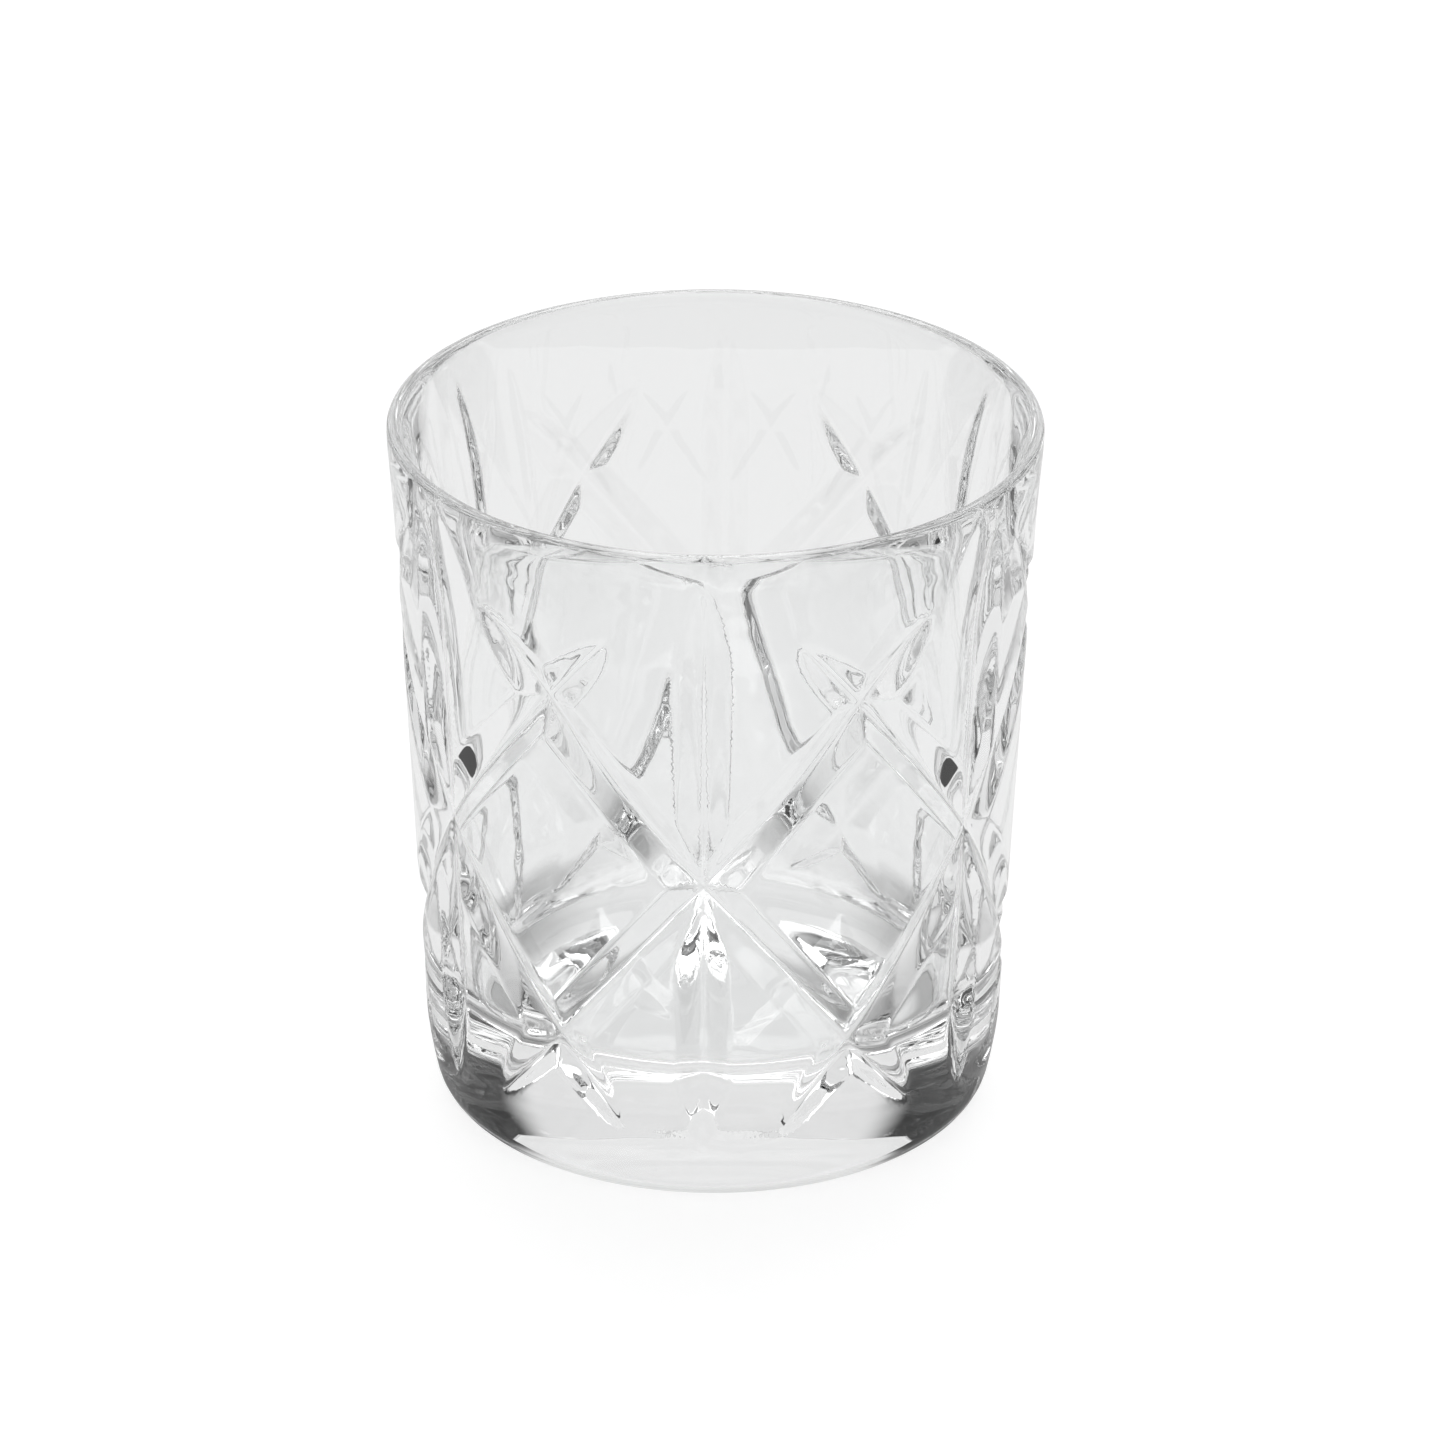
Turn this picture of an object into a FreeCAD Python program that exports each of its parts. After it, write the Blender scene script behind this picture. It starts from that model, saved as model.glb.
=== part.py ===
"""Cut-pattern whisky tumbler: one piece of pressed glass, modelled in millimetres, +Z up.

The origin is the centre of the face that the tumbler stands on, and Z is its axis.
The pattern repeats six times round the wall.  Twelve slanting V-cuts, six of each hand,
cross each other in three rows, and an upright V-cut passes through each middle crossing.
"""
import FreeCAD, Part
import math
import os

import Sketcher
from FreeCAD import Placement, Rotation, Vector

NODE = "tumbler_glass"

# alias, value in mm (or a plain count), what it is
SIZES = [
    ("total_height", 95.0, "standing face to the top of the lip"),
    ("foot_radius", 35.6, "heel carried down to the standing face"),
    ("heel_height", 11.0, "where the wall starts to draw in to the foot"),
    ("heel_radius", 37.6, "outer radius at that height"),
    ("flare_height", 78.0, "where the outer wall starts to flare to the lip"),
    ("shoulder_radius", 41.1, "outer radius where the flare starts"),
    ("lip_radius", 42.4, "outer radius at the lip"),
    ("mouth_radius", 40.5, "inner radius at the lip"),
    ("lip_rounding", 0.9, "fire-polished edge of the lip"),
    ("heel_rounding", 5.0, "outer edge of the foot"),
    ("floor_height", 16.5, "thickness of the heavy base"),
    ("floor_radius", 31.6, "inner cone carried down to the floor"),
    ("floor_rounding", 5.5, "inner corner between wall and floor"),
    ("throat_height", 62.0, "where the thick wall starts to thin to the lip"),
    ("throat_radius", 34.3, "inner radius at that height"),
    ("hollow_radius", 28.5, "shallow hollow under the foot"),
    ("hollow_depth", 2.6, "depth of that hollow at the axis"),
    ("repeats", 6, "repeats of the pattern round the wall"),
    ("cut_depth", 1.7, "full depth of every V-cut"),
    ("cut_half_width", 3.2, "half the width of a V-cut at its full depth"),
    ("middle_crossing", 47.1, "height of the middle row of crossings"),
    ("crossing_step", 24.6, "height from one row of crossings to the next"),
    ("slant_top", 82.4, "height where a slanting cut runs out at the top"),
    ("slant_foot", 11.2, "height where a slanting cut runs out at the foot"),
    ("upright_top", 91.0, "height where an upright cut runs out at the top"),
    ("upright_full", 75.0, "height below which an upright cut has its full depth"),
    ("upright_foot", 9.5, "height where an upright cut runs out at the foot"),
]

SECTIONS_PER_CUT = 24  # V sections that a slanting cutter is lofted through
OVERSHOOT = 1.0  # how far a cutter stands out of the wall, mm
RUN_OUT = -0.15  # depth of a cutter's tip at its ends, just clear of the wall, mm

doc = FreeCAD.newDocument("tumbler")

# ---- the sheet of driving dimensions -----------------------------------------------------------
sheet = doc.addObject("Spreadsheet::Sheet", "Sizes")
for row, (alias, value, note) in enumerate(SIZES, start=1):
    sheet.set(f"A{row}", str(value))
    sheet.setAlias(f"A{row}", alias)
    sheet.set(f"B{row}", note)
doc.recompute()
size = {alias: float(getattr(sheet, alias)) for alias, value, note in SIZES}


# ---- turned profiles ---------------------------------------------------------------------------
def circle_centre(start, direction, end):
    """Centre of the circle that leaves start along direction and passes through end."""
    across = Vector(-direction.y, direction.x, 0).normalize()
    chord = end - start
    return start + across * (chord.dot(chord) / (2 * chord.dot(across)))


def bound_to(sketch, kind, element, vertex, alias):
    """Tie one coordinate of a profile corner to the axis, the standing face or the sheet."""
    axis = -2 if kind == "DistanceX" else -1
    if alias is None:
        sketch.addConstraint(Sketcher.Constraint("PointOnObject", element, vertex, axis))
    else:
        distance = Sketcher.Constraint(kind, -1, 1, element, vertex, size[alias])
        index = sketch.addConstraint(distance)
        sketch.setExpression(f"Constraints[{index}]", f"Sizes.{alias}")


def profile(body, name, corners, bend, bend_is_tangent=True):
    """A closed half section on the body's XZ plane: sketch X is the radius, sketch Y the height.

    corners holds the alias of each corner's radius and height, None for zero.  The side that
    starts at corner number bend is an arc: tangent to the side before it, or centred on the axis.
    """
    sketch = body.newObject("Sketcher::SketchObject", name)
    plane = next(item for item in body.Origin.OriginFeatures if item.Role == "XZ_Plane")
    sketch.AttachmentSupport = [(plane, "")]
    sketch.MapMode = "FlatFace"

    points = [Vector(size.get(radius, 0.0), size.get(height, 0.0), 0) for radius, height in corners]
    count = len(points)
    first_vertex = []
    for side in range(count):
        start = points[side]
        end = points[(side + 1) % count]
        if side != bend:
            sketch.addGeometry(Part.LineSegment(start, end))
            first_vertex.append(1)
            continue
        leaving = start - points[side - 1] if bend_is_tangent else Vector(0, 1, 0)
        centre = circle_centre(start, leaving, end)
        if not bend_is_tangent:
            # the centre lies on the axis, below the crown of the hollow
            crown = end.y
            centre = Vector(0, (crown**2 - start.x**2) / (2 * crown), 0)
        angles = [math.atan2(point.y - centre.y, point.x - centre.x) for point in (start, end)]
        anticlockwise = angles[0] < angles[1]
        circle = Part.Circle(centre, Vector(0, 0, 1), (start - centre).Length)
        sketch.addGeometry(Part.ArcOfCircle(circle, min(angles), max(angles)))
        first_vertex.append(1 if anticlockwise else 2)

    for side in range(count):
        following = (side + 1) % count
        end_vertex = 3 - first_vertex[side]
        kind = "Tangent" if bend_is_tangent and following == bend else "Coincident"
        joint = Sketcher.Constraint(kind, side, end_vertex, following, first_vertex[following])
        sketch.addConstraint(joint)
    for side, (radius, height) in enumerate(corners):
        bound_to(sketch, "DistanceX", side, first_vertex[side], radius)
        bound_to(sketch, "DistanceY", side, first_vertex[side], height)
    if not bend_is_tangent:
        sketch.addConstraint(Sketcher.Constraint("PointOnObject", bend, 3, -2))
    doc.recompute()
    return sketch


def turned(body, kind, name, sketch):
    """Turn a profile once round the tumbler's axis, to add glass or to take it away."""
    feature = body.newObject(kind, name)
    feature.Profile = sketch
    feature.ReferenceAxis = (sketch, ["V_Axis"])
    feature.Angle = 360
    doc.recompute()
    return feature


def rounded(body, name, base, rims, alias):
    """Round the circular edges that lie at the given (radius, height) pairs."""
    names = []
    for index, edge in enumerate(base.Shape.Edges, start=1):
        if edge.Degenerated or not isinstance(edge.Curve, Part.Circle):
            continue
        curve = edge.Curve
        for radius, height in rims:
            if abs(curve.Radius - radius) < 1e-4 and abs(curve.Center.z - height) < 1e-4:
                names.append(f"Edge{index}")
    fillet = body.newObject("PartDesign::Fillet", name)
    fillet.Base = (base, names)
    fillet.setExpression("Radius", f"Sizes.{alias}")
    doc.recompute()
    return fillet


# ---- the uncut glass ---------------------------------------------------------------------------
blank = doc.addObject("PartDesign::Body", "Blank")

outside = [
    (None, None),
    ("foot_radius", None),
    ("heel_radius", "heel_height"),
    ("shoulder_radius", "flare_height"),
    ("lip_radius", "total_height"),
    (None, "total_height"),
]
outer_form = turned(blank, "PartDesign::Revolution", "OuterForm",
                    profile(blank, "OuterProfile", outside, bend=3))

inside = [
    (None, "floor_height"),
    ("floor_radius", "floor_height"),
    ("throat_radius", "throat_height"),
    ("mouth_radius", "total_height"),
    (None, "total_height"),
]
cavity = turned(blank, "PartDesign::Groove", "Cavity",
                profile(blank, "CavityProfile", inside, bend=2))

underside = [(None, None), ("hollow_radius", None), (None, "hollow_depth")]
hollow = turned(blank, "PartDesign::Groove", "FootHollow",
                profile(blank, "HollowProfile", underside, bend=1, bend_is_tangent=False))

heel = rounded(blank, "Heel", hollow, [(size["foot_radius"], 0.0)], "heel_rounding")
corner = rounded(blank, "FloorCorner", heel, [(size["floor_radius"], size["floor_height"])],
                 "floor_rounding")
lip_edges = [(size[alias], size["total_height"]) for alias in ("lip_radius", "mouth_radius")]
lip = rounded(blank, "Lip", corner, lip_edges, "lip_rounding")
blank.Tip = lip
doc.recompute()

print("outer form %.0f, cavity left %.0f, hollow left %.0f, rounded %.0f mm3" % tuple(
    feature.Shape.Volume for feature in (outer_form, cavity, hollow, lip)))


# ---- cutters -----------------------------------------------------------------------------------
heel_top = Vector(size["heel_radius"], size["heel_height"], 0)
shoulder = Vector(size["shoulder_radius"], size["flare_height"], 0)
rim = Vector(size["lip_radius"], size["total_height"], 0)
flare_centre = circle_centre(shoulder, shoulder - heel_top, rim)
flare_arc = (shoulder - flare_centre).Length


def wall_point(angle, height):
    """Point on the uncut outer wall and its outward normal, at an angle from -Y, in degrees."""
    if height < shoulder.y:
        side = (shoulder - heel_top).normalize()
        radius = heel_top.x + (height - heel_top.y) * side.x / side.y
        outward = Vector(side.y, -side.x, 0)
    else:
        rise = height - flare_centre.y
        radius = flare_centre.x - math.sqrt(flare_arc**2 - rise**2)
        outward = Vector(flare_centre.x - radius, -rise, 0).normalize()
    turn = Rotation(Vector(0, 0, 1), angle)
    point = turn.multVec(Vector(0, -radius, height))
    normal = turn.multVec(Vector(0, -outward.x, outward.y))
    return point, normal


def v_cutter(stations):
    """Solid cutter lofted through V sections at (angle, height, depth) stations along a cut."""
    opening = size["cut_half_width"] / size["cut_depth"]
    places = [wall_point(angle, height) for angle, height, depth in stations]
    wires = []
    for index, (angle, height, depth) in enumerate(stations):
        before = places[max(index - 1, 0)][0]
        after = places[min(index + 1, len(places) - 1)][0]
        point, normal = places[index]
        across = (after - before).cross(normal).normalize()
        crest = point + normal * OVERSHOOT
        reach = across * ((depth + OVERSHOOT) * opening)
        tip = point - normal * depth
        wires.append(Part.makePolygon([tip, crest + reach, crest - reach, tip]))
    return Part.makeLoft(wires, True, False)


def depth_between(height, foot_end, full_foot, full_top, top_end):
    """Depth of a cut at a height: full in the middle, rounding out to nothing at both ends."""
    below = max((full_foot - height) / (full_foot - foot_end), 0.0)
    above = max((height - full_top) / (top_end - full_top), 0.0)
    share = 1.0 - max(below, above) ** 2
    return RUN_OUT + (size["cut_depth"] - RUN_OUT) * share


crossing_rows = [size["middle_crossing"] + row * size["crossing_step"] for row in (-1, 0, 1)]
sector = 360.0 / size["repeats"]
slope = size["crossing_step"] / (sector / 2)  # rise of a slanting cut, mm per degree


def slanting_stations(hand):
    """Stations of the slanting cut that passes the middle row at angle zero."""
    stations = []
    for index in range(SECTIONS_PER_CUT + 1):
        share = index / SECTIONS_PER_CUT
        height = size["slant_foot"] + share * (size["slant_top"] - size["slant_foot"])
        angle = hand * (height - size["middle_crossing"]) / slope
        depth = depth_between(height, size["slant_foot"], crossing_rows[0], crossing_rows[2],
                              size["slant_top"])
        stations.append((angle, height, depth))
    return stations


def upright_stations():
    """Stations of the upright cut at angle zero."""
    foot, lower, upper, top = (size["upright_foot"], crossing_rows[0],
                               size["upright_full"], size["upright_top"])
    heights = [foot + share * (lower - foot) for share in (0.0, 0.25, 0.5)]
    heights += [lower + share * (upper - lower) for share in (0.0, 0.25, 0.5, 0.75)]
    heights += [upper + share * (top - upper) for share in (0.0, 0.25, 0.5, 0.75, 1.0)]
    return [(0.0, height, depth_between(height, foot, lower, upper, top)) for height in heights]


def ring_of_cutters(name, stations):
    """One cutter repeated round the wall, as a compound of separate solids."""
    shape = v_cutter(stations)
    cutters = []
    for index in range(int(size["repeats"])):
        cutter = doc.addObject("Part::Feature", f"{name}{index + 1}")
        cutter.Shape = shape
        cutter.Placement = Placement(Vector(0, 0, 0), Rotation(Vector(0, 0, 1), index * sector))
        cutters.append(cutter)
    ring = doc.addObject("Part::Compound", f"{name}Ring")
    ring.Links = cutters
    doc.recompute()
    return ring


# ---- the cut glass -----------------------------------------------------------------------------
glass = blank
for name, stations in (("Upright", upright_stations()),
                       ("RightHand", slanting_stations(1)),
                       ("LeftHand", slanting_stations(-1))):
    ring = ring_of_cutters(name, stations)
    cut = doc.addObject("Part::Cut", f"Glass{name}")
    cut.Base = glass
    cut.Tool = ring
    doc.recompute()
    print("%s cuts take %.0f mm3" % (name, glass.Shape.Volume - cut.Shape.Volume))
    glass = cut
glass.Label = NODE

# ---- checks and export -------------------------------------------------------------------------
for item in doc.Objects:
    if "Invalid" in item.State or "Error" in item.State:
        raise RuntimeError(f"{item.Name} failed: {item.State}")
shape = glass.Shape
if shape.isNull() or not shape.isValid() or len(shape.Solids) != 1:
    raise RuntimeError("the tumbler is not one valid solid")
box = shape.optimalBoundingBox()
print("glass %.0f mm3, %d faces, box %.2f x %.2f x %.2f mm, lowest %.3f" % (
    shape.Volume, len(shape.Faces), box.XLength, box.YLength, box.ZLength, box.ZMin))
os.makedirs("parts", exist_ok=True)
shape.exportStep(f"parts/{NODE}.step")
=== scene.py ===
import math

import bpy
import numpy as np
from mathutils import Matrix, Vector


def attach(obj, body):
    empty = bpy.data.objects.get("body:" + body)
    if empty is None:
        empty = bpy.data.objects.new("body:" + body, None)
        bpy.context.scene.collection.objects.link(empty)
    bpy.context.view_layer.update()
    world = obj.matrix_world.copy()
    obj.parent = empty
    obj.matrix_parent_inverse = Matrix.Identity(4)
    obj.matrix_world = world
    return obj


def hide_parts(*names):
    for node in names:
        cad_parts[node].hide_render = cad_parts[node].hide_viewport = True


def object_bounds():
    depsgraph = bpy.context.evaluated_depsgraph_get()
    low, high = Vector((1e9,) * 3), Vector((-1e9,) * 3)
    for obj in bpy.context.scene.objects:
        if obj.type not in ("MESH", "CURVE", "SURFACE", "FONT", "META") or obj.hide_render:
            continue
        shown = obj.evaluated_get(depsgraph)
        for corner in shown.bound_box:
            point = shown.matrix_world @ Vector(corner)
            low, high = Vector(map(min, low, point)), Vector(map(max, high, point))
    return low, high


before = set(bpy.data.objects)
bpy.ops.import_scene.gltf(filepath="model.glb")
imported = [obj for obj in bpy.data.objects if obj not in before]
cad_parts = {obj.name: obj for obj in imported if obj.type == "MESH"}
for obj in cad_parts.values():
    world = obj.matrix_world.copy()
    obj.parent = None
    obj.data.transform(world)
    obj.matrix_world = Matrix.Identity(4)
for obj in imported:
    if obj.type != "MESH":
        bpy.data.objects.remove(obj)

cad_low, cad_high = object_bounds()


# The tumbler: one piece of clear soda-lime glass, pressed in a mould and fire-polished.
# The turned form comes first, as a half section spun about the axis. Then the V-cuts of the
# mould are sunk into its outer wall: twelve slanting ones that cross in three rows, and six upright.
mm = 0.001
total_height = cad_high[2] / mm
heel_height = 11.0
heel_radius = 37.6
heel_bow = 60.0
heel_crease = 3.0
foot_rounding = 5.0
flare_height = 78.0
shoulder_radius = 41.1
lip_radius = 42.4
mouth_radius = 40.5
floor_height = 16.5
floor_radius = 31.6
floor_rounding = 5.5
throat_height = 62.0
throat_radius = 34.3
hollow_radius = 28.5
hollow_depth = 2.6

cut_depth = 1.7
cut_half_width = 3.2
middle_crossing = 47.1
crossing_step = 24.6
slant_top = 82.4
slant_foot = 11.2
upright_top = 91.0
upright_full = 75.0
upright_foot = 9.5

# the mesh of the wall
columns = 360
row_step = crossing_step / 30.0    # a row up for each degree round: the next crossing is 30 degrees on
rows_below = 47
rows_above = 50
band_low = middle_crossing - rows_below * row_step
band_high = middle_crossing + rows_above * row_step

outer_lean = math.atan((shoulder_radius - heel_radius) / (flare_height - heel_height))
heel_lean = outer_lean + math.radians(heel_crease)
heel_middle = (heel_radius - heel_bow * math.cos(heel_lean), heel_height + heel_bow * math.sin(heel_lean))


def flared(height, low, low_radius, high, high_radius, top_radius):
    """Radius of a cone through two heights that opens smoothly above the second one to the lip."""
    lean = (high_radius - low_radius) / (high - low)
    opening = top_radius - low_radius - lean * (total_height - low)
    rise = np.maximum(height - high, 0.0) / (total_height - high)
    return low_radius + lean * (height - low) + opening * rise ** 2


def outer_wall(height):
    """Outer radius of the uncut glass: a bowed heel, then the cone and the flare above it."""
    bow = np.sqrt(heel_bow ** 2 - (np.minimum(height, heel_height) - heel_middle[1]) ** 2)
    cone = flared(height, heel_height, heel_radius, flare_height, shoulder_radius, lip_radius)
    return np.where(height < heel_height, heel_middle[0] + bow, cone)


def inner_wall(height):
    """Inner radius above the rounded corner of the floor."""
    return flared(height, floor_height, floor_radius, throat_height, throat_radius, mouth_radius)


def arc(centre, radius, start, end, steps):
    """Points of an arc in the half section, angles in degrees from the outward direction."""
    return [(centre[0] + radius * math.cos(a), centre[1] + radius * math.sin(a))
            for a in np.radians(np.linspace(start, end, steps))]


# the half section runs from the middle of the foot's hollow, round the outside, to the floor's middle
section = [(0.0, hollow_depth)]
section += [(hollow_radius * share, hollow_depth * (1 - share ** 2)) for share in np.linspace(0.1, 1, 10)]
foot_angle = math.asin((foot_rounding - heel_middle[1]) / (heel_bow - foot_rounding))
foot_middle = heel_middle[0] + (heel_bow - foot_rounding) * math.cos(foot_angle)
section += arc((foot_middle, foot_rounding), foot_rounding, -90.0, math.degrees(foot_angle), 9)
section += [(float(outer_wall(height)), height) for height in (5.2, 6.2, 7.4)]
section += [(outer_wall(height), height) for height in
            np.linspace(band_low, band_high, rows_below + rows_above + 1)]
section += [(outer_wall(height), height) for height in (90.0, 92.0)]
lip_half = (lip_radius - mouth_radius) / 2
lip_height = total_height - lip_half
lip_middle = (float(outer_wall(lip_height)) + float(inner_wall(lip_height))) / 2
section += arc((lip_middle, lip_height), lip_half, 8.0, 172.0, 12)
corner_height = floor_height + floor_rounding
section += [(inner_wall(height), height) for height in np.linspace(92.5, corner_height + 0.3, 26)]
inner_lean = math.degrees(math.atan((throat_radius - floor_radius) / (throat_height - floor_height)))
corner_middle = inner_wall(corner_height) - floor_rounding / math.cos(math.radians(inner_lean))
section += arc((corner_middle, corner_height), floor_rounding, -inner_lean, -90.0, 12)
section += [(corner_middle * share, floor_height) for share in (0.8, 0.6, 0.4, 0.2, 0.0)]

mesh = bpy.data.meshes.new("pressed_tumbler")
mesh.from_pydata([(0.0, -radius * mm, height * mm) for radius, height in section],
                 [(index, index + 1) for index in range(len(section) - 1)], [])
tumbler = bpy.data.objects.new("pressed_tumbler", mesh)
bpy.context.scene.collection.objects.link(tumbler)
bpy.ops.object.select_all(action="DESELECT")
bpy.context.view_layer.objects.active = tumbler
tumbler.select_set(True)
bpy.ops.object.mode_set(mode="EDIT")
bpy.ops.mesh.select_all(action="SELECT")
bpy.ops.mesh.spin(steps=columns, angle=2 * math.pi, center=(0, 0, 0), axis=(0, 0, 1))
bpy.ops.mesh.select_all(action="SELECT")
bpy.ops.mesh.remove_doubles(threshold=0.00001)
bpy.ops.mesh.normals_make_consistent(inside=False)
bpy.ops.mesh.select_mode(type="FACE")
bpy.ops.mesh.select_all(action="DESELECT")
bpy.ops.object.mode_set(mode="OBJECT")

# every square of the cut band is poked, so the cuts of both hands run along edges of the mesh
for polygon in mesh.polygons:
    radius = math.hypot(polygon.center.x, polygon.center.y) / mm
    height = polygon.center.z / mm
    outside = radius > (outer_wall(height) + inner_wall(height)) / 2
    polygon.select = bool(outside and band_low < height < band_high)
bpy.ops.object.mode_set(mode="EDIT")
bpy.ops.mesh.poke()
bpy.ops.mesh.select_all(action="DESELECT")
bpy.ops.object.mode_set(mode="OBJECT")

# the points of the band, as an angle round the wall in degrees and a row up it
places = np.array([tuple(vertex.co) for vertex in mesh.vertices]) / mm
radius = np.hypot(places[:, 0], places[:, 1])
height = places[:, 2]
on_band = (height > band_low - 0.01) & (height < band_high + 0.01)
on_band &= radius > (outer_wall(height) + inner_wall(height)) / 2
angle = np.degrees(np.arctan2(places[on_band, 0], -places[on_band, 1]))
height = height[on_band]
row = (height - middle_crossing) / row_step

# the mesh lines gather at the bottoms and the edges of the cuts, where the surface bends
fade = np.clip((height - band_low) / 4.0, 0, 1) * np.clip((band_high - height) / 4.0, 0, 1)
gather = 0.45
spacing = 6.0


def gathered(line):
    """A mesh line's new angle, nearer to the closest line of the pattern."""
    return line - fade * gather * spacing / (2 * math.pi) * np.sin(2 * math.pi * line / spacing)


right_hand = gathered(angle + row)
left_hand = gathered(angle - row)
angle = (right_hand + left_hand) / 2
row = (right_hand - left_hand) / 2
height = middle_crossing + row * row_step

cut_bottom_softness = 0.40
cut_edge_softness = 0.12


def full_depth(foot_end, full_foot, full_top, top_end):
    """Depth at the bottom of a cut, which runs out towards both of its ends."""
    below = np.maximum((full_foot - height) / (full_foot - foot_end), 0.0)
    above = np.maximum((height - full_top) / (top_end - full_top), 0.0)
    return cut_depth * (1 - np.maximum(below, above) ** 2)


def folded(line):
    """Distance in degrees to the nearest of six lines round the wall."""
    return np.abs((line + 30.0) % 60.0 - 30.0)


def v_cut(distance, bottom):
    """Depth at a distance from the middle of a V-cut with a softened bottom."""
    soft_distance = np.sqrt(distance ** 2 + cut_bottom_softness ** 2) - cut_bottom_softness / 2
    return bottom - soft_distance * cut_depth / cut_half_width


def deeper(one, other):
    """The deeper of two depths, with the edge between them softened."""
    return (one + other + np.sqrt((one - other) ** 2 + cut_edge_softness ** 2)) / 2


degree = outer_wall(height) * math.pi / 180
across = degree * np.sin(np.arctan2(row_step, degree))
low_crossing = middle_crossing - crossing_step
high_crossing = middle_crossing + crossing_step
slanting = full_depth(slant_foot, low_crossing, high_crossing, slant_top)
upright = full_depth(upright_foot, low_crossing, upright_full, upright_top)
depth = deeper(v_cut(folded(angle - row) * across, slanting), v_cut(folded(angle + row) * across, slanting))
depth = deeper(depth, v_cut(folded(angle) * degree, upright))
depth = deeper(depth, 0.0 * depth) - cut_edge_softness / 4
radius = outer_wall(height) - depth - 0.02
turned = np.radians(angle)
places[on_band] = np.stack([radius * np.sin(turned), -radius * np.cos(turned), height], axis=1)
mesh.vertices.foreach_set("co", (places * mm).ravel())
mesh.update()
tumbler.select_set(True)
bpy.ops.object.shade_smooth()


class Reading:
    """A number or colour read from a shader node. Sums, products and differences add Math nodes."""

    def __init__(self, socket):
        self.socket = socket
        self.tree = socket.id_data

    def node(self, kind, settings, values, output=0):
        """Add a node of a kind to the same tree, and read one of its outputs."""
        return add_node(self.tree, kind, settings, values, output)

    def maths(self, operation, *others):
        """A Math node on this reading and the others, in their order."""
        return self.node("ShaderNodeMath", {"operation": operation}, dict(enumerate((self, *others))))

    def ramp(self, start, end, low=0.0, high=1.0):
        """A smooth step from low to high while this reading goes from start to end."""
        return self.node("ShaderNodeMapRange", {"interpolation_type": "SMOOTHSTEP"},
                         {"Value": self, "From Min": start, "From Max": end, "To Min": low, "To Max": high})

    def __add__(self, other):
        return self.maths("ADD", other)

    def __sub__(self, other):
        return self.maths("SUBTRACT", other)

    def __rsub__(self, other):
        return self.maths("MULTIPLY_ADD", -1.0, other)

    def __mul__(self, other):
        return self.maths("MULTIPLY", other)

    def __truediv__(self, other):
        return self.maths("DIVIDE", other)

    __radd__ = __add__
    __rmul__ = __mul__


def add_node(tree, kind, settings, values, output=0):
    """Add a node: its settings first, then the value or the link of each named socket."""
    node = tree.nodes.new(kind)
    for name, setting in settings.items():
        setattr(node, name, setting)
    for name, value in values.items():
        if isinstance(value, Reading):
            tree.links.new(value.socket, node.inputs[name])
        else:
            node.inputs[name].default_value = value
    return Reading(node.outputs[output])


glass = bpy.data.materials.new("clear_pressed_glass")
glass.use_nodes = True
glass_nodes = glass.node_tree
shader = glass_nodes.nodes["Principled BSDF"]
shader.inputs["Base Color"].default_value = (0.985, 0.99, 0.99, 1.0)
shader.inputs["IOR"].default_value = 1.52
shader.inputs["Transmission Weight"].default_value = 1.0
place_on_glass = add_node(glass_nodes, "ShaderNodeTexCoord", {}, {}, "Object")
# the mould leaves a faint waviness, drawn out round the glass, and the polish varies a little
stretched = place_on_glass.node("ShaderNodeMapping", {}, {"Vector": place_on_glass, "Scale": (1.0, 1.0, 1.6)})
waves = stretched.node("ShaderNodeTexNoise", {}, {"Vector": stretched, "Scale": 70.0, "Detail": 1.0})
ripple = stretched.node("ShaderNodeTexNoise", {}, {"Vector": stretched, "Scale": 260.0, "Detail": 0.0})
relief = waves + 0.15 * ripple
bumped = relief.node("ShaderNodeBump", {}, {"Height": relief, "Strength": 1.0, "Distance": 0.00003}, "Normal")
glass_nodes.links.new(bumped.socket, shader.inputs["Normal"])
handled = stretched.node("ShaderNodeTexNoise", {}, {"Vector": stretched, "Scale": 35.0, "Detail": 4.0})
polish = handled.ramp(0.45, 0.75, 0.004, 0.018)
glass_nodes.links.new(polish.socket, shader.inputs["Roughness"])
mesh.materials.append(glass)
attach(tumbler, "root")
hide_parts("tumbler_glass")


# The camera: a long lens, above the lip and looking down into the glass.
# Its place is taken from the centre of the lip, in metres.
camera_turn = math.radians(1.93)
camera_tilt = math.radians(26.044)
camera_roll = 0.0047
camera_place = Vector((0.00108, -1.18113, cad_high[2] + 0.53390))

camera_data = bpy.data.cameras.new("camera")
camera_data.lens = 251.97
camera_data.sensor_width = 36.0
camera_data.clip_start = 0.05
camera_data.clip_end = 50.0
camera = bpy.data.objects.new("camera", camera_data)
bpy.context.scene.collection.objects.link(camera)
camera.matrix_world = (Matrix.Rotation(camera_turn, 4, "Z") @ Matrix.Translation(camera_place)
                       @ Matrix.Rotation(math.pi / 2 - camera_tilt, 4, "X")
                       @ Matrix.Rotation(camera_roll, 4, "Z"))
bpy.context.scene.camera = camera


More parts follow.
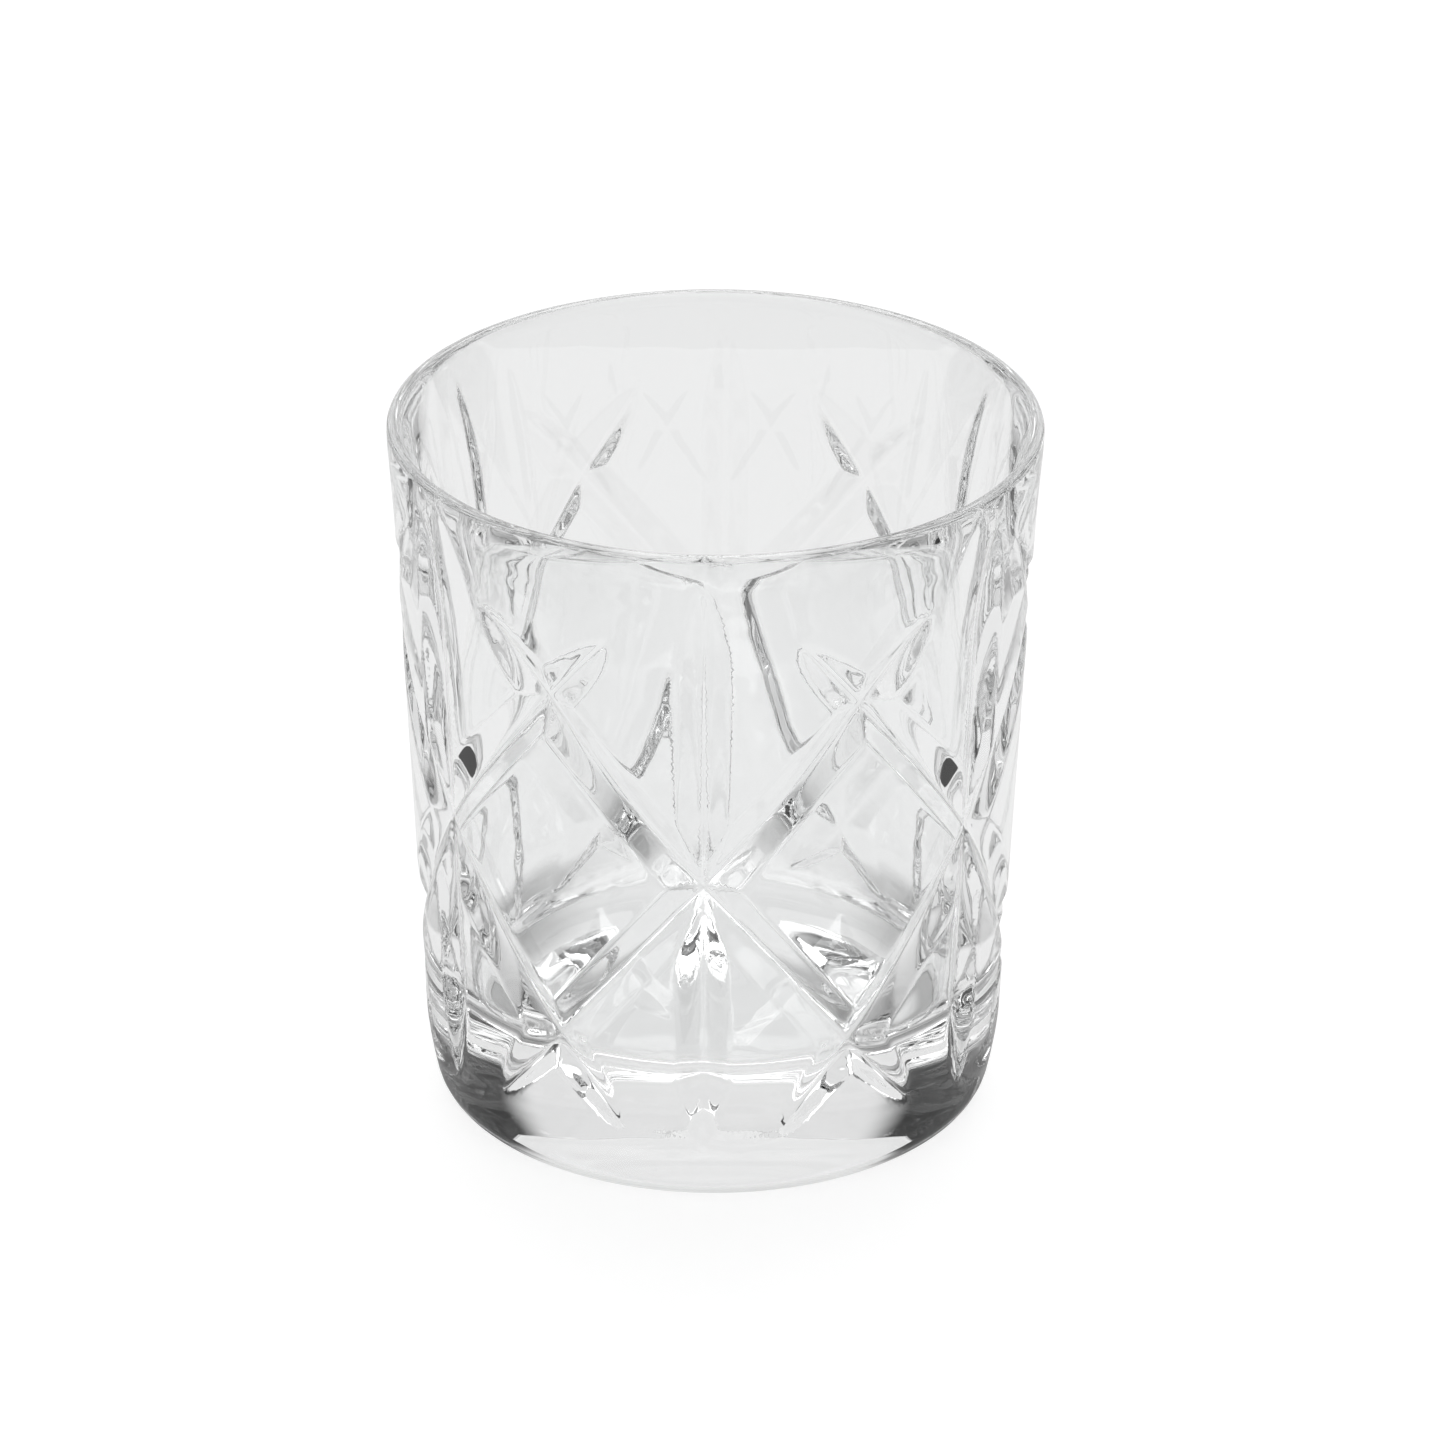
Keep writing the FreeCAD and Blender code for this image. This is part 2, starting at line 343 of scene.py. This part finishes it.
# The table it stands on: matt white board. Rays that come through the glass also meet painted shade
# on it: two dark patches behind it to the left and right, and a painted shadow ring beside the foot,
# which the camera doesn't see. They draw the dark edges of the cuts.
bpy.ops.object.select_all(action="DESELECT")
bpy.ops.mesh.primitive_plane_add(size=12.0, location=(0, 0, 0))
table = bpy.context.object
table.name = "white_table"
board_glow = 0.63
board_white = 0.28
camera_gain = 0.27
board = bpy.data.materials.new("matt_white_board")
board.use_nodes = True
board_nodes = board.node_tree
board_nodes.nodes.clear()
seen = add_node(board_nodes, "ShaderNodeLightPath", {}, {}, "Is Camera Ray")
place_on_table = add_node(board_nodes, "ShaderNodeTexCoord", {}, {}, "Object")
aside = place_on_table.node("ShaderNodeSeparateXYZ", {}, {"Vector": place_on_table}, "X").maths("ABSOLUTE")
behind = place_on_table.node("ShaderNodeSeparateXYZ", {}, {"Vector": place_on_table}, "Y")
# painted shade: two nearly black patches on the table behind the glass, left and right, seen only by rays
# that are not the camera's
painted_shade_patches = aside.ramp(0.26, 0.28) * behind.ramp(0.05, 0.07) * behind.ramp(0.75, 0.7)
from_foot = (aside * aside + behind * behind).maths("SQRT")
# painted shadow: a darker ring beside the foot, to the left and right, seen only by rays that are not the
# camera's
painted_side_shadow = from_foot.ramp(0.075, 0.036) * from_foot.ramp(0.026, 0.032) * aside.ramp(0.016, 0.032)
unseen = 1 - seen
# the board's light: darkened by the painted shade and the painted shadow for rays through the glass, brighter
# for the camera
exposure = camera_gain * seen + (1 - unseen * painted_shade_patches * 0.97) * (1 - unseen * painted_side_shadow * 0.6)
glow = board_glow * exposure
matt = exposure.node("ShaderNodeBsdfDiffuse", {}, {"Color": board_white * exposure})
lit = glow.node("ShaderNodeEmission", {}, {"Strength": glow})
both = matt.node("ShaderNodeAddShader", {}, {0: matt, 1: lit})
output = board_nodes.nodes.new("ShaderNodeOutputMaterial")
board_nodes.links.new(both.socket, output.inputs["Surface"])
table.data.materials.append(board)


# The studio round it: a soft box overhead that is brighter towards the back, a white sweep
# behind, a weak light in front, and black on both sides. The camera itself sees plain white.
studio = bpy.data.worlds.new("studio")
bpy.context.scene.world = studio
studio.use_nodes = True
studio_nodes = studio.node_tree
studio_nodes.nodes.clear()
direction = add_node(studio_nodes, "ShaderNodeTexCoord", {}, {}, "Generated")
east = direction.node("ShaderNodeSeparateXYZ", {}, {"Vector": direction}, "X")
north = direction.node("ShaderNodeSeparateXYZ", {}, {"Vector": direction}, "Y")
up = direction.node("ShaderNodeSeparateXYZ", {}, {"Vector": direction}, "Z")
level = (east * east + north * north + 0.000001).maths("SQRT")
rearward = north / level
sweep = rearward.ramp(0.80, 0.90) * up.ramp(0.0, 0.30, 0.50, 0.76) * up.ramp(0.80, 0.74)
front_fill = rearward.ramp(-0.3, -0.7) * up.ramp(0.25, 0.50, 0.0, 0.45)
height_up = up.maths("MAXIMUM", 0.02)
box_across = (east / height_up).maths("ABSOLUTE")
box_along = north / height_up
soft_box = box_across.ramp(0.58, 0.48) * box_along.ramp(-1.1, -0.8) * box_along.ramp(1.3, 1.1)
brightness = soft_box * box_along.ramp(-0.3, 0.4, 1.1, 2.6)
around = (sweep + 0.02).maths("MAXIMUM", front_fill).maths("MAXIMUM", brightness)
seen_directly = add_node(studio_nodes, "ShaderNodeLightPath", {}, {}, "Is Camera Ray")
strength = around + seen_directly * (1.02 - around)
background = strength.node("ShaderNodeBackground", {}, {"Color": (1.0, 1.0, 1.0, 1.0), "Strength": strength})
studio_output = studio_nodes.nodes.new("ShaderNodeOutputWorld")
studio_nodes.links.new(background.socket, studio_output.inputs["Surface"])

scene = bpy.context.scene
scene.view_settings.view_transform = "Standard"
scene.cycles.max_bounces = 32
scene.cycles.transmission_bounces = 32
scene.cycles.glossy_bounces = 16
scene.cycles.diffuse_bounces = 3
